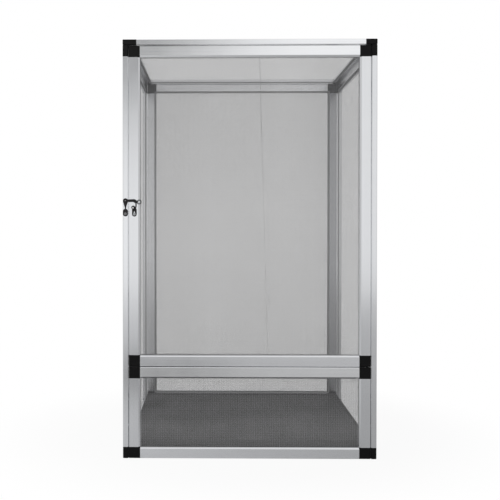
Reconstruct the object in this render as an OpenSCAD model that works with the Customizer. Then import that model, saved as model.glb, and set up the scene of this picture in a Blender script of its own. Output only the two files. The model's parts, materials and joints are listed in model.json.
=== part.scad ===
// Mesh reptile cage: screwed panels of aluminium rail, a hinged front door and a swing-hook latch.
// Millimetres, +Z up, the front faces -Y, and the origin lies under the middle of the cage.

/* [Cage] */
// Overall width, across both side panels
cage_w = 460; // [380:5:620]
// Overall depth of the frame, from its front face to its back face
cage_d = 460; // [380:5:620]
// Overall height
cage_h = 760; // [640:5:1200]
// Height of the fixed panel below the door
lower_h = 166; // [140:1:260]

/* [Rail] */
// Width of a rail's face
rail_w = 20.5; // [19:0.5:28]
// Thickness of a panel
rail_t = 10; // [9:0.5:14]
// Wall of the closed box along the rail's outer edge
box_wall = 1.2; // [0.8:0.1:1.6]
// Depth of the spline groove's floor behind the rail's outer face
groove_floor = 3; // [2.6:0.1:3.6]
// Width of that groove
groove_w = 2.8; // [2.6:0.1:6]
// Height of the lip that the mesh lies on, from the rail's outer face
lip_h = 6.5; // [5.5:0.1:7]
// Thickness of that lip
lip_t = 1.7; // [1:0.1:2.4]
// Slope along the rail's inner front edge
lip_bevel = 3; // [1:0.1:3.2]
// Small chamfer along the rail's outer edges
edge_chamfer = 0.9; // [0.2:0.1:1]

/* [Corner blocks] */
// Length of the plug that a corner block pushes into a rail
plug_l = 22; // [12:1:30]
// Length of the black shoulder beside the top panel's front left corner
lid_shoulder = 4.5; // [1:0.5:8]

/* [Mesh] */
// Thickness of the mesh
mesh_t = 0.8; // [0.4:0.1:1.2]
// Thickness of the mesh's rim, turned down into the groove
rim_t = 0.6; // [0.4:0.1:1]
// Width of one strand
strand_w = 1.2; // [0.8:0.1:3]
// Spacing of the strands, rounded to a whole number of gaps
strand_step = 54; // [48:1:120]
// Height of the rubber spline above the groove's floor
spline_h = 5; // [3.5:0.1:5.5]

/* [Floor] */
// Height of the base frame above the ground
base_z = 6; // [2:0.5:6.5]
// Height of the floor panel's flat top above the base frame
floor_h = 13.6; // [10:0.2:30]
// Thickness of the floor panel's sheet and of its turned-down edges
floor_sheet = 1.6; // [1:0.1:3]
// Radius of the floor panel's upright corners
floor_r = 5; // [4:0.5:12]
// Height of the bead along the floor panel's edges
bead_h = 1.4; // [0.6:0.1:1.6]
// Width of that bead
bead_w = 3.5; // [2:0.1:3.8]
// Number of stiffening ribs under the floor panel
rib_count = 3; // [1:1:6]

/* [Hinge] */
// Distance of the hinge axis from the door's right edge
pivot_in = 6; // [5:0.25:7]
// Distance of the hinge axis behind the door's front face
pivot_back = 3; // [2.6:0.1:3.2]
// Diameter of a hinge pin
pin_d = 3.2; // [2:0.1:3.4]
// Length of a pin inside the door or the lower panel
pin_in = 12; // [6:0.5:14]
// Length of the upper pin inside the top panel
pin_top = 7; // [4:0.5:8]
// Diameter of the collar that carries the door
collar_d = 5; // [4.5:0.1:5.2]

/* [Door seal] */
// Distance of the soft strip below the door behind the door's front face
seal_in = 1.5; // [1:0.1:3]
// Depth of that strip
seal_w = 4; // [2:0.1:5]
// Clearance between that strip and the lower panel
seal_clear = 0.3; // [0.2:0.05:0.5]

/* [Latch] */
// Height of the hook's pivot
latch_z = 456; // [300:1:560]
// Distance of the hook's pivot from the door's left edge
latch_in = 8.4; // [7:0.1:9]
// Height of the keeper's post above the hook's pivot
post_rise = 12; // [10:0.25:14]
// Diameter of the keeper's post
post_d = 3.2; // [2:0.1:3.6]
// Thickness of the two latch plates
plate_t = 1.2; // [0.8:0.1:2]
// Radius of the keeper's round ends
keeper_r = 4.7; // [4:0.1:4.8]
// Distance between the centres of the keeper's round ends
keeper_l = 23.5; // [20:0.5:30]
// Width of the keeper's waist
keeper_waist = 2.6; // [2:0.1:6]
// Height of the waist above the hook's pivot
waist_rise = 0.5; // [-1:0.1:2]
// Length of the keeper's straight sides above its lower round end
foot_l = 4.4; // [3:0.1:6]
// Radius of the hook plate's round head
plate_r = 4.6; // [4:0.1:5.5]
// Width of the hook plate's tail
tail_w = 8.6; // [6:0.1:9]
// Distance of the hook plate's screw below the pivot
tail_l = 12.2; // [11:0.1:16]
// Distance of the hook plate's screw to the right of the pivot
tail_in = 2; // [0:0.1:2.2]
// Thickness of the hook
hook_t = 2.2; // [1.5:0.1:3]
// Width of the hook's arm
hook_w = 4; // [2:0.1:4.4]
// Radius of the hook's round boss
boss_r = 3.8; // [3.2:0.1:4.4]
// Radius of the hook's swan neck, at the middle of its arm
neck_r = 5; // [4.6:0.1:6.5]
// Height of the swan neck's centre above the pivot
neck_z = 7.5; // [7:0.1:9]
// Radius of the lobe that drops over the post
lobe_r = 4.4; // [3.8:0.1:4.6]
// Outer radius of the finger curl
curl_r = 4.4; // [3:0.1:5]
// Width of the finger curl's ring
curl_w = 1.7; // [1:0.1:2]
// Distance that the finger curl stands in front of the hook
curl_proud = 1.6; // [0:0.1:3]
// Diameter of the hook's rivet
rivet_d = 3.2; // [2.4:0.1:4]
// Diameter of the rivet's domed head
rivet_head_d = 6.6; // [5:0.1:7.4]
// Height of the rivet's domed head
rivet_head_h = 2.2; // [1.2:0.1:3]

/* [Screws] */
// Diameter of every screw's shank
screw_d = 3; // [2.4:0.1:3.4]
// Diameter of a countersunk head
head_d = 5.6; // [4.8:0.1:6.4]
// Diameter of a latch screw's round head
pan_d = 5; // [4:0.1:6]
// Height of a latch screw's round head
pan_h = 1.3; // [0.8:0.1:2]
// Reach of a screw into the second panel
screw_reach = 6; // [3:0.5:8]
// Distance from the end of a corner block's plug to the nearest screw in a long rail
screw_past = 33; // [8:1:60]
// The same distance in a post of the lower panel
lower_screw_past = 17; // [6:1:22]
// Length of the cross recess in a screw's head
drive_l = 3.2; // [2:0.1:3.6]
// Width of the cross recess
drive_w = 0.8; // [0.5:0.1:1]
// Depth of the cross recess
drive_h = 0.8; // [0.4:0.1:1]

/* [Fits] */
// Gap beside the door and the panels that stand between the side panels
panel_gap = 0.8; // [0.7:0.05:0.95]
// Gap above the door
door_top_gap = 1.6; // [1.2:0.1:2.4]
// Gap below the door
door_low_gap = 1.4; // [1:0.1:2.2]
// Hairline between two panels that are screwed together
seat_gap = 0.2; // [0.05:0.05:0.5]
// Clearance of plugs, screws, mesh and spline
fit = 0.1; // [0.05:0.01:0.15]
// Radial running clearance of pins and rivet
running_fit = 0.06; // [0.03:0.01:0.1]
// Clearance between the hook and the parts that it passes
swing_gap = 0.4; // [0.3:0.05:0.6]
// Clearance between the floor panel and the walls round it
floor_gap = 0.7; // [0.5:0.1:0.9]

/* [Hidden] */
$fn = 48;
eps = 1;
aluminium = [0.79, 0.80, 0.82];
mesh_grey = [0.62, 0.63, 0.64];
black_plastic = [0.09, 0.09, 0.10];
grey_rubber = [0.50, 0.50, 0.51];
black_rubber = [0.16, 0.16, 0.17];
floor_black = [0.12, 0.12, 0.13];
dark_nickel = [0.30, 0.30, 0.32];
steel = [0.66, 0.67, 0.69];

// Latch: the layers in front of the door, and how far they reach
hook_y0 = plate_t + swing_gap;
hook_y1 = hook_y0 + hook_t;
latch_proud = hook_y1 + max(curl_proud, running_fit + rivet_head_h);

// Cage: the planes that the panels meet at
front = (latch_proud - cage_d) / 2;
back = front + cage_d;
inner_x = cage_w / 2 - rail_t;
front_x = inner_x - panel_gap;
under_top = cage_h - rail_t;
base_top = base_z + rail_t;
back_z = base_top + seat_gap;
door_z = lower_h + door_low_gap;
door_h = under_top - door_top_gap - door_z;

// Panels: width and height in their own plane
side_size = [cage_d, under_top - seat_gap];
back_size = [2 * front_x, under_top - seat_gap - back_z];
top_size = [cage_w, cage_d];
lower_size = [2 * front_x, lower_h];
door_size = [2 * front_x, door_h];
base_size = [2 * front_x, cage_d - rail_t - panel_gap];

// Rail: where the lip, the groove, the mesh's rim and the plugs begin, from the outer edge
lip_u = rail_w - lip_t;
box_w = lip_u - groove_w;
rim_u = lip_u - fit - rim_t;
plug_in = box_wall + fit;

// Hinge axis and latch, seen from the front
pivot_x = front_x - pivot_in;
hook_x = latch_in - front_x;
post_x = rail_t / 2 - cage_w / 2;
post_dx = post_x - hook_x;
post_far = norm([post_dx, post_rise]);
keeper_z = latch_z + post_rise - keeper_l;
plate_screw_z = latch_z - tail_l;

// Hook: where its swan neck begins and ends, its slot behind the post and its finger curl, in degrees
neck_from = -60;
neck_to = 95;
slot_turn = 60;
curl_turn = 12;
curl_far = neck_r + hook_w / 2 + curl_r - curl_w / 2;
curl_at = [0, neck_z] + curl_far * [cos(curl_turn), sin(curl_turn)];
post_turn = atan2(post_rise, post_dx);

// Screws: heights and distances along the panels
head_h = (head_d - screw_d) / 2;
screw_l = rail_t + panel_gap + screw_reach;
mid_rail = rail_t / 2;
base_mid = base_z + mid_rail;
plug_end = rail_w + plug_l;
function end_screws(length, past) = [plug_end + past, length - plug_end - past];
back_edge_screws = concat(end_screws(back_size[1], screw_past), back_size[1] / 2);
back_screws = [for (z = back_edge_screws) back_z + z];
lower_screws = end_screws(lower_h, lower_screw_past);
side_screws = end_screws(cage_d, screw_past);
base_edge_screws = [for (y = side_screws) cage_d - y];
rear_screws = end_screws(cage_w, screw_past);
back_top_screws = [for (x = rear_screws) x - cage_w / 2 + front_x];

// A panel's own frame: its outer face lies at y = 0 and faces -Y, x runs along it and z up it
module on_left() { translate([-cage_w / 2, back, 0]) rotate([0, 0, -90]) children(); }
module on_right() { translate([cage_w / 2, front, 0]) rotate([0, 0, 90]) children(); }
module on_back() { translate([front_x, back, back_z]) rotate([0, 0, 180]) children(); }
module on_top() { translate([-cage_w / 2, front, cage_h]) rotate([-90, 0, 0]) children(); }
module on_base() { translate([-front_x, back, base_z]) rotate([90, 0, 0]) children(); }
module on_lower() { translate([-front_x, front, 0]) children(); }
module on_door() { translate([-front_x, front, door_z]) children(); }

// A flat outline in x and z, given thickness from y0 to y1
module slab(y0, y1) {
    translate([0, y1, 0]) rotate([90, 0, 0]) linear_extrude(y1 - y0) children();
}

// A round bar along +y from y0 to y1
module bar_y(y0, y1, d) {
    translate([0, y0, 0]) rotate([-90, 0, 0]) cylinder(h = y1 - y0, d = d);
}

// A frame's outline in x and z, inset by a from the panel's outer edge and b wide
module ring_outline(size, a, b) {
    difference() {
        translate([a, a]) square([size[0] - 2 * a, size[1] - 2 * a]);
        translate([a + b, a + b]) square([size[0] - 2 * (a + b), size[1] - 2 * (a + b)]);
    }
}

// The rail's outline: a box, the spline groove and the lip; u from the outer edge, v from the face
module rail_outline() {
    polygon([
        [0, edge_chamfer], [edge_chamfer, 0], [rail_w - lip_bevel, 0], [rail_w, lip_bevel],
        [rail_w, lip_h], [lip_u, lip_h], [lip_u, groove_floor], [box_w, groove_floor],
        [box_w, rail_t], [edge_chamfer, rail_t], [0, rail_t - edge_chamfer]
    ]);
}
module rail_section() {
    difference() {
        rail_outline();
        translate([box_wall, box_wall]) square([box_w - 2 * box_wall, rail_t - 2 * box_wall]);
    }
}

// The cross recess in a screw's head that faces -y at y0
module cross_recess(y0) {
    for (turn = [0, 90])
        translate([0, y0, 0]) rotate([0, turn, 0])
            translate([-drive_l / 2, -eps, -drive_w / 2]) cube([drive_l, drive_h + eps, drive_w]);
}

// A countersunk screw along +y with its head flush at y = 0
module countersunk_screw(reach) {
    difference() {
        countersunk(reach);
        cross_recess(0);
    }
}

// The countersunk screw's outer shape; grow widens it into its own hole
module countersunk(reach, grow = 0) {
    translate([0, -grow, 0]) rotate([-90, 0, 0]) {
        cylinder(h = head_h + grow, d1 = head_d + 4 * grow, d2 = screw_d + 2 * grow);
        cylinder(h = reach + 2 * grow, d = screw_d + 2 * grow);
    }
}

// A rail along +z; face_holes pass through it at face_u, edge_holes enter its outer edge
module rail(length, face_holes = [], face_u = mid_rail, edge_holes = []) {
    difference() {
        linear_extrude(length) rail_section();
        for (s = face_holes)
            translate([face_u, 0, s]) countersunk(rail_t + eps, fit);
        for (s = edge_holes)
            translate([-eps, mid_rail, s]) rotate([0, 90, 0])
                cylinder(h = box_wall + 2 * eps, d = screw_d + 2 * fit);
    }
}

// The four rails of a panel, cut square between its corner blocks
module left_stile(size, face_holes = [], edge_holes = []) {
    translate([0, 0, rail_w])
        rail(size[1] - 2 * rail_w, [for (z = face_holes) z - rail_w], mid_rail,
            [for (z = edge_holes) z - rail_w]);
}
module right_stile(size, face_holes = [], edge_holes = []) {
    translate([size[0], 0, 0]) mirror([1, 0, 0]) left_stile(size, face_holes, edge_holes);
}
module bottom_rail(size, face_holes = [], face_u = mid_rail, edge_holes = [], shoulder = 0) {
    start = rail_w + shoulder;
    translate([start, 0, 0]) mirror([1, 0, -1])
        rail(size[0] - rail_w - start, [for (x = face_holes) x - start], face_u,
            [for (x = edge_holes) x - start]);
}
module top_rail(size, face_holes = [], edge_holes = []) {
    translate([0, 0, size[1]]) mirror([0, 0, 1]) bottom_rail(size, face_holes, mid_rail, edge_holes);
}

// One moulded corner: a block as thick as the rail, with its chamfers, the groove's turn and two plugs
module chamfered_bar() {
    linear_extrude(rail_w) polygon([
        [0, edge_chamfer], [edge_chamfer, 0], [rail_w, 0],
        [rail_w, rail_t], [edge_chamfer, rail_t], [0, rail_t - edge_chamfer]
    ]);
}
module corner_block() {
    difference() {
        intersection() {
            chamfered_bar();
            mirror([1, 0, -1]) chamfered_bar();
        }
        translate([box_w, groove_floor, box_w]) cube([rail_w, rail_t, rail_w]);
    }
    translate([lip_u, groove_floor - fit, lip_u]) cube([lip_t, lip_h - groove_floor + fit, lip_t]);
    plug();
    mirror([1, 0, -1]) plug();
}
module plug() {
    translate([plug_in, plug_in, rail_w - eps])
        cube([box_w - 2 * plug_in, rail_t - 2 * plug_in, plug_l + eps]);
}
module corner_blocks(size) {
    for (right = [0, 1], top = [0, 1])
        translate([right * size[0], 0, top * size[1]])
            mirror([right, 0, 0]) mirror([0, 0, top]) corner_block();
}

// The mesh: strands across the opening, a border on the lip and a rim turned down into the groove
module mesh_net(size) {
    open = [size[0] - 2 * rail_w, size[1] - 2 * rail_w];
    count = [for (i = [0, 1]) max(1, round(open[i] / strand_step))];
    gap = [for (i = [0, 1]) (open[i] - (count[i] - 1) * strand_w) / count[i]];
    slab(lip_h, lip_h + mesh_t)
        difference() {
            translate([rim_u, rim_u]) square([size[0] - 2 * rim_u, size[1] - 2 * rim_u]);
            for (i = [0:count[0] - 1], j = [0:count[1] - 1])
                translate([rail_w + i * (gap[0] + strand_w), rail_w + j * (gap[1] + strand_w)])
                    square(gap);
        }
    slab(groove_floor + fit, lip_h + mesh_t) ring_outline(size, rim_u, rim_t);
}

// The rubber spline that clamps the mesh's rim in the groove
module spline_loop(size) {
    slab(groove_floor + fit, groove_floor + spline_h)
        ring_outline(size, box_w + fit, rim_u - box_w - 2 * fit);
}

// Holes for the hinge pins, along z at the door's right edge
module pin_hole(z0, length) {
    translate([2 * front_x - pivot_in, pivot_back, z0]) cylinder(h = length, d = pin_d + 2 * running_fit);
}

// Left side panel: its own x runs from the back of the cage to the front
module left_front_stile() {
    color(aluminium) on_left() right_stile(side_size, lower_screws, [keeper_z]);
}
module left_rear_stile() { color(aluminium) on_left() left_stile(side_size, back_screws); }
module left_top_rail() { color(aluminium) on_left() top_rail(side_size, [], side_screws); }
module left_bottom_rail() { color(aluminium) on_left() bottom_rail(side_size, side_screws, base_mid); }
module left_corner_blocks() { color(black_plastic) on_left() corner_blocks(side_size); }
module left_mesh() { color(mesh_grey) on_left() mesh_net(side_size); }
module left_spline() { color(grey_rubber) on_left() spline_loop(side_size); }

// Right side panel: its own x runs from the front of the cage to the back
module right_front_stile() { color(aluminium) on_right() left_stile(side_size, lower_screws); }
module right_rear_stile() { color(aluminium) on_right() right_stile(side_size, back_screws); }
module right_top_rail() { color(aluminium) on_right() top_rail(side_size, [], side_screws); }
module right_bottom_rail() { color(aluminium) on_right() bottom_rail(side_size, side_screws, base_mid); }
module right_corner_blocks() { color(black_plastic) on_right() corner_blocks(side_size); }
module right_mesh() { color(mesh_grey) on_right() mesh_net(side_size); }
module right_spline() { color(grey_rubber) on_right() spline_loop(side_size); }

// Back panel: it stands on the base frame between the side panels
module back_left_stile() { color(aluminium) on_back() right_stile(back_size, [], back_edge_screws); }
module back_right_stile() { color(aluminium) on_back() left_stile(back_size, [], back_edge_screws); }
module back_top_rail() { color(aluminium) on_back() top_rail(back_size, [], back_top_screws); }
module back_bottom_rail() { color(aluminium) on_back() bottom_rail(back_size); }
module back_corner_blocks() { color(black_plastic) on_back() corner_blocks(back_size); }
module back_mesh() { color(mesh_grey) on_back() mesh_net(back_size); }
module back_spline() { color(grey_rubber) on_back() spline_loop(back_size); }

// Top panel: it lies on the side panels and the back panel and carries the upper hinge pin
module top_left_rail() { color(aluminium) on_top() left_stile(top_size, side_screws); }
module top_right_rail() { color(aluminium) on_top() right_stile(top_size, side_screws); }
module top_front_rail() { color(aluminium) on_top() bottom_rail(top_size, shoulder = lid_shoulder); }
module top_rear_rail() { color(aluminium) on_top() top_rail(top_size, rear_screws); }
module top_corner_blocks() {
    color(black_plastic) difference() {
        on_top() {
            corner_blocks(top_size);
            translate([rail_w - eps, 0, 0]) mirror([1, 0, -1])
                linear_extrude(lid_shoulder + eps) rail_outline();
        }
        translate([pivot_x, front + pivot_back, under_top - eps])
            cylinder(h = pin_top + eps, d = pin_d + 2 * running_fit);
    }
}
module top_mesh() { color(mesh_grey) on_top() mesh_net(top_size); }
module top_spline() { color(grey_rubber) on_top() spline_loop(top_size); }

// Lower front panel: it is fixed between the side panels and carries the lower hinge pin
module lower_left_stile() { color(aluminium) on_lower() left_stile(lower_size, [], lower_screws); }
module lower_right_stile() { color(aluminium) on_lower() right_stile(lower_size, [], lower_screws); }
module lower_top_rail() { color(aluminium) on_lower() top_rail(lower_size); }
module lower_bottom_rail() { color(aluminium) on_lower() bottom_rail(lower_size); }
module lower_corner_blocks() {
    color(black_plastic) on_lower() difference() {
        corner_blocks(lower_size);
        pin_hole(lower_h - pin_in, pin_in + eps);
    }
}
module lower_mesh() { color(mesh_grey) on_lower() mesh_net(lower_size); }
module lower_spline() { color(grey_rubber) on_lower() spline_loop(lower_size); }

// Door: it turns on two pins in its right-hand corner blocks
module door_left_stile() {
    color(aluminium) on_door() difference() {
        left_stile(door_size);
        for (at = [[latch_in, latch_z], [latch_in + tail_in, plate_screw_z]])
            translate([at[0], 0, at[1] - door_z]) bar_y(-eps, box_wall + eps, rivet_d + 2 * fit);
    }
}
module door_right_stile() { color(aluminium) on_door() right_stile(door_size); }
module door_top_rail() { color(aluminium) on_door() top_rail(door_size); }
module door_bottom_rail() { color(aluminium) on_door() bottom_rail(door_size); }
module door_corner_blocks() {
    color(black_plastic) on_door() difference() {
        corner_blocks(door_size);
        pin_hole(-eps, pin_in + eps);
        pin_hole(door_h - pin_in, pin_in + eps);
    }
}
module door_mesh() { color(mesh_grey) on_door() mesh_net(door_size); }
module door_spline() { color(grey_rubber) on_door() spline_loop(door_size); }
module door_seal() {
    h = door_low_gap - fit - seal_clear;
    color(black_rubber) on_door() translate([rail_w, seal_in, -fit - h])
        cube([door_size[0] - 2 * rail_w, seal_w, h]);
}

// Base frame: it lies between the side panels and carries the floor panel and the back panel
module base_left_rail() { color(aluminium) on_base() left_stile(base_size, [], base_edge_screws); }
module base_right_rail() { color(aluminium) on_base() right_stile(base_size, [], base_edge_screws); }
module base_front_rail() { color(aluminium) on_base() top_rail(base_size); }
module base_rear_rail() { color(aluminium) on_base() bottom_rail(base_size); }
module base_corner_blocks() { color(black_plastic) on_base() corner_blocks(base_size); }

// Floor panel: a black sheet with turned-down edges that stand on the base frame, ribs and a low bead
module rounded_plate(size, r) {
    translate([r, 0]) square([size[0] - 2 * r, size[1]]);
    translate([0, r]) square([size[0], size[1] - 2 * r]);
    for (x = [r, size[0] - r], y = [r, size[1] - r])
        translate([x, y]) circle(r);
}
module inset_plate(size, r, by) {
    translate([by, by]) rounded_plate([size[0] - 2 * by, size[1] - 2 * by], r - by);
}
module floor_panel() {
    size = [2 * (inner_x - floor_gap), cage_d - 2 * (rail_t + floor_gap)];
    rib_step = size[0] / (rib_count + 1);
    color(floor_black) translate([-size[0] / 2, front + rail_t + floor_gap, base_top]) {
        difference() {
            linear_extrude(floor_h + bead_h) rounded_plate(size, floor_r);
            translate([0, 0, floor_h]) linear_extrude(bead_h + eps) inset_plate(size, floor_r, bead_w);
            translate([0, 0, -eps])
                linear_extrude(floor_h - floor_sheet + eps) inset_plate(size, floor_r, floor_sheet);
        }
        for (i = [1:rib_count])
            translate([i * rib_step - floor_sheet / 2, floor_sheet / 2, 0])
                cube([floor_sheet, size[1] - floor_sheet, floor_h - floor_sheet / 2]);
    }
}

// Hinge pins; the lower one has a collar that the door stands on
module lower_hinge_pin() {
    color(steel) translate([pivot_x, front + pivot_back, 0]) {
        translate([0, 0, lower_h - pin_in]) cylinder(h = 2 * pin_in + door_low_gap - fit, d = pin_d);
        translate([0, 0, lower_h]) cylinder(h = door_low_gap - running_fit, d = collar_d);
    }
}
module upper_hinge_pin() {
    top = under_top + pin_top;
    bottom = door_z + door_h - pin_in + fit;
    color(steel) translate([pivot_x, front + pivot_back, bottom]) cylinder(h = top - bottom, d = pin_d);
}

// Latch, drawn in x and z round the hook's pivot; y = 0 is the door's front face
module on_latch() { translate([hook_x, front, latch_z]) children(); }

// A round-headed latch screw, its head seated on the plate
module pan_screw() {
    difference() {
        bar_y(-plate_t - pan_h, -plate_t, pan_d);
        cross_recess(-plate_t - pan_h);
    }
    bar_y(-plate_t - eps / 2, box_wall + eps, screw_d);
}

// A straight arm of the hook between two points
module arm(a, b) {
    d = b - a;
    translate(a) rotate(atan2(d[1], d[0])) translate([0, -hook_w / 2]) square([norm(d), hook_w]);
}

// A sector of a ring round the origin, between two angles less than 180 degrees apart
module ring_sector(r, w, from, to) {
    far = 2 * r + w;
    mid = (from + to) / 2;
    intersection() {
        difference() {
            circle(r + w / 2);
            circle(r - w / 2);
        }
        polygon([[0, 0], for (a = [from, mid, to]) far * [cos(a), sin(a)]]);
    }
}

// Two circles and the area between their outer tangents
module link(a, ra, b, rb) {
    d = b - a;
    along = atan2(d[1], d[0]);
    aside = acos((ra - rb) / norm(d));
    function rim(at, r, turn) = at + r * [cos(along + turn), sin(along + turn)];
    translate(a) circle(ra);
    translate(b) circle(rb);
    polygon([rim(a, ra, aside), rim(a, ra, -aside), rim(b, rb, -aside), rim(b, rb, aside)]);
}

// The keeper: a drop that hangs from the post, a waist and a longer foot
module keeper_outline() {
    waist = [post_dx, waist_rise];
    foot = [post_dx, post_rise - keeper_l];
    foot_top = foot + [0, foot_l];
    link([post_dx, post_rise], keeper_r, waist, keeper_waist / 2);
    link(waist, keeper_waist / 2, foot_top, keeper_waist / 2);
    link(foot_top, keeper_r, foot, keeper_r);
}
module latch_keeper() {
    color(dark_nickel) on_latch() {
        difference() {
            slab(-plate_t, 0) keeper_outline();
            translate([post_dx, 0, post_rise - keeper_l]) bar_y(-plate_t - eps, eps, screw_d + 2 * fit);
        }
        translate([post_dx, 0, post_rise]) bar_y(-hook_y1 - swing_gap, -plate_t / 2, post_d);
    }
}
module keeper_screw() { color(steel) translate([post_x, front, keeper_z]) pan_screw(); }

module hook_plate_outline() {
    circle(plate_r);
    link([tail_in, 0], tail_w / 2, [tail_in, -tail_l], tail_w / 2);
}
module hook_plate() {
    color(dark_nickel) on_latch() difference() {
        slab(-plate_t, 0) hook_plate_outline();
        bar_y(-plate_t - eps, eps, rivet_d + 2 * fit);
        translate([tail_in, 0, -tail_l]) bar_y(-plate_t - eps, eps, screw_d + 2 * fit);
    }
}
module hook_plate_screw() { color(steel) translate([hook_x + tail_in, front, plate_screw_z]) pan_screw(); }

// The hook: a boss, a swan neck that turns back over the pivot, an arm to the post and a finger curl
module hook_outline() {
    difference() {
        union() {
            circle(boss_r);
            arm([0, 0], [0, neck_z] + neck_r * [cos(neck_from), sin(neck_from)]);
            translate([0, neck_z]) ring_sector(neck_r, hook_w, neck_from, neck_to);
            arm([0, neck_z + neck_r], [post_dx, post_rise]);
            translate([post_dx, post_rise]) circle(lobe_r);
            translate(curl_at) circle(curl_r);
        }
        circle(d = rivet_d + 2 * running_fit);
        translate(curl_at) circle(curl_r - curl_w);
        translate([post_dx, post_rise]) circle(post_d / 2 + swing_gap);
        ring_sector(post_far, post_d + 2 * swing_gap, post_turn, post_turn + slot_turn);
    }
}
module latch_hook() {
    color(dark_nickel) on_latch() {
        slab(-hook_y1, -hook_y0) hook_outline();
        slab(-hook_y1 - curl_proud, -hook_y1 + eps)
            translate(curl_at) difference() {
                circle(curl_r);
                circle(curl_r - curl_w);
            }
    }
}
module hook_rivet() {
    r = rivet_head_d / 2;
    ball = (r * r + rivet_head_h * rivet_head_h) / (2 * rivet_head_h);
    color(dark_nickel) on_latch() {
        bar_y(-hook_y1 - running_fit - eps / 2, box_wall + eps, rivet_d);
        translate([0, -hook_y1 - running_fit, 0]) rotate([90, 0, 0]) rotate_extrude()
            intersection() {
                square([r, rivet_head_h]);
                translate([0, rivet_head_h - ball]) circle(ball, $fn = 96);
            }
    }
}

// Countersunk screws through the side panels into the back, lower and base panels
module side_panel_screws() {
    color(steel) {
        on_left() side_screw_row(mid_rail, cage_d - mid_rail);
        on_right() side_screw_row(cage_d - mid_rail, mid_rail);
    }
}
module side_screw_row(rear_post_x, front_post_x) {
    for (z = back_screws)
        translate([rear_post_x, 0, z]) countersunk_screw(screw_l);
    for (z = lower_screws)
        translate([front_post_x, 0, z]) countersunk_screw(screw_l);
    for (x = side_screws)
        translate([x, 0, base_mid]) countersunk_screw(screw_l);
}

// Countersunk screws through the top panel into the side panels and the back panel
module top_panel_screws() {
    color(steel) on_top() {
        for (x = [mid_rail, cage_w - mid_rail], y = side_screws)
            translate([x, 0, y]) countersunk_screw(screw_l);
        for (x = rear_screws)
            translate([x, 0, cage_d - mid_rail]) countersunk_screw(screw_l);
    }
}

left_front_stile();
left_rear_stile();
left_top_rail();
left_bottom_rail();
left_corner_blocks();
left_mesh();
left_spline();
right_front_stile();
right_rear_stile();
right_top_rail();
right_bottom_rail();
right_corner_blocks();
right_mesh();
right_spline();
back_left_stile();
back_right_stile();
back_top_rail();
back_bottom_rail();
back_corner_blocks();
back_mesh();
back_spline();
top_left_rail();
top_right_rail();
top_front_rail();
top_rear_rail();
top_corner_blocks();
top_mesh();
top_spline();
lower_left_stile();
lower_right_stile();
lower_top_rail();
lower_bottom_rail();
lower_corner_blocks();
lower_mesh();
lower_spline();
door_left_stile();
door_right_stile();
door_top_rail();
door_bottom_rail();
door_corner_blocks();
door_mesh();
door_spline();
door_seal();
base_left_rail();
base_right_rail();
base_front_rail();
base_rear_rail();
base_corner_blocks();
floor_panel();
lower_hinge_pin();
upper_hinge_pin();
latch_keeper();
keeper_screw();
hook_plate();
hook_plate_screw();
latch_hook();
hook_rivet();
side_panel_screws();
top_panel_screws();
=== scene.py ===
# %% [markdown]
# # Dressing a mesh reptile cage
#
# The cage arrives as a imported CAD model: rails, corner blocks, latch and floor panel are exact
# solids at their real size, on three bodies, two of which move. This lesson leaves every solid
# where it is. It gives each one its finish, puts fine wire screens where the solids have coarse
# nets, rounds the small cast latch and closes four gaps with black pads of painted shade. Lengths
# are in metres, +Z is up and the door faces -Y.

# %% Load the imported frame
import json
import math

import bpy
import numpy as np
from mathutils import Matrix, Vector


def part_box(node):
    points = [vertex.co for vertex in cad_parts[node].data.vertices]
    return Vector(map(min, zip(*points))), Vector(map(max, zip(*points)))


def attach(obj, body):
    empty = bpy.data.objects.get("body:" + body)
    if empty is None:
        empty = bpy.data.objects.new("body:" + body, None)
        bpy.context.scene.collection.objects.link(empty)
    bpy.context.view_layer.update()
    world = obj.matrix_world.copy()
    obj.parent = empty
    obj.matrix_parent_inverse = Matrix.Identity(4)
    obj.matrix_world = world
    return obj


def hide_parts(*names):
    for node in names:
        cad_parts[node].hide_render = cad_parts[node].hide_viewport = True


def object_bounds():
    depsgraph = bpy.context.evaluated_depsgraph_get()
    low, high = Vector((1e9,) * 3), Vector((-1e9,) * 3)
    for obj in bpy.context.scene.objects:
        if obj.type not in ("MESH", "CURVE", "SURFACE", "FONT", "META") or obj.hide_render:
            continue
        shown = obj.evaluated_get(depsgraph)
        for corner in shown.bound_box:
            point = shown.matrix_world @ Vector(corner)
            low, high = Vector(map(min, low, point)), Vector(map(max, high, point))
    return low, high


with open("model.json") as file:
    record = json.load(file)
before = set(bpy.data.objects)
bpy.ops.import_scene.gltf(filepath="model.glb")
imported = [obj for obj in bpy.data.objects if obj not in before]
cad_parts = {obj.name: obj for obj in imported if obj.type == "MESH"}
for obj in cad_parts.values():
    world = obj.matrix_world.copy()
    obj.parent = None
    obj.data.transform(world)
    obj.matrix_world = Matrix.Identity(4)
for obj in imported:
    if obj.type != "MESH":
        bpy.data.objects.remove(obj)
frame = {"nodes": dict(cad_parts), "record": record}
CAD_BOX = [[float(value) for value in corner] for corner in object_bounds()]
CAD_LOW, CAD_HIGH = (np.array(corner) for corner in CAD_BOX)
MIDDLE = (CAD_LOW + CAD_HIGH) / 2
MM = 0.001
bodies = frame["record"]["behaviour"]["bodies"]
slots = {part["node"]: part["material_slot"] for part in frame["record"]["subparts"]}
scene = bpy.context.scene


# %% [markdown]
# ## The camera
#
# The photograph is a cropped product shot from nearly straight ahead, a little left of the middle
# and a little above half height. A camera could be aimed by eye. Here its place and turn were
# fitted to edges measured in the photograph, for a cage of this size, and the crop is kept as a
# lens shift: the optical axis doesn't meet the middle of the picture.

# %% Place the camera
PICTURE = 500.0
FOCAL = 873.6
AXIS_AT = (200.0, 235.2)
CAMERA_AT = (-0.0636, -1.8090, 0.4264)
LOOKS_DOWN = 0.748
LOOKS_LEFT = 0.949
SENSOR = 36.0


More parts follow.
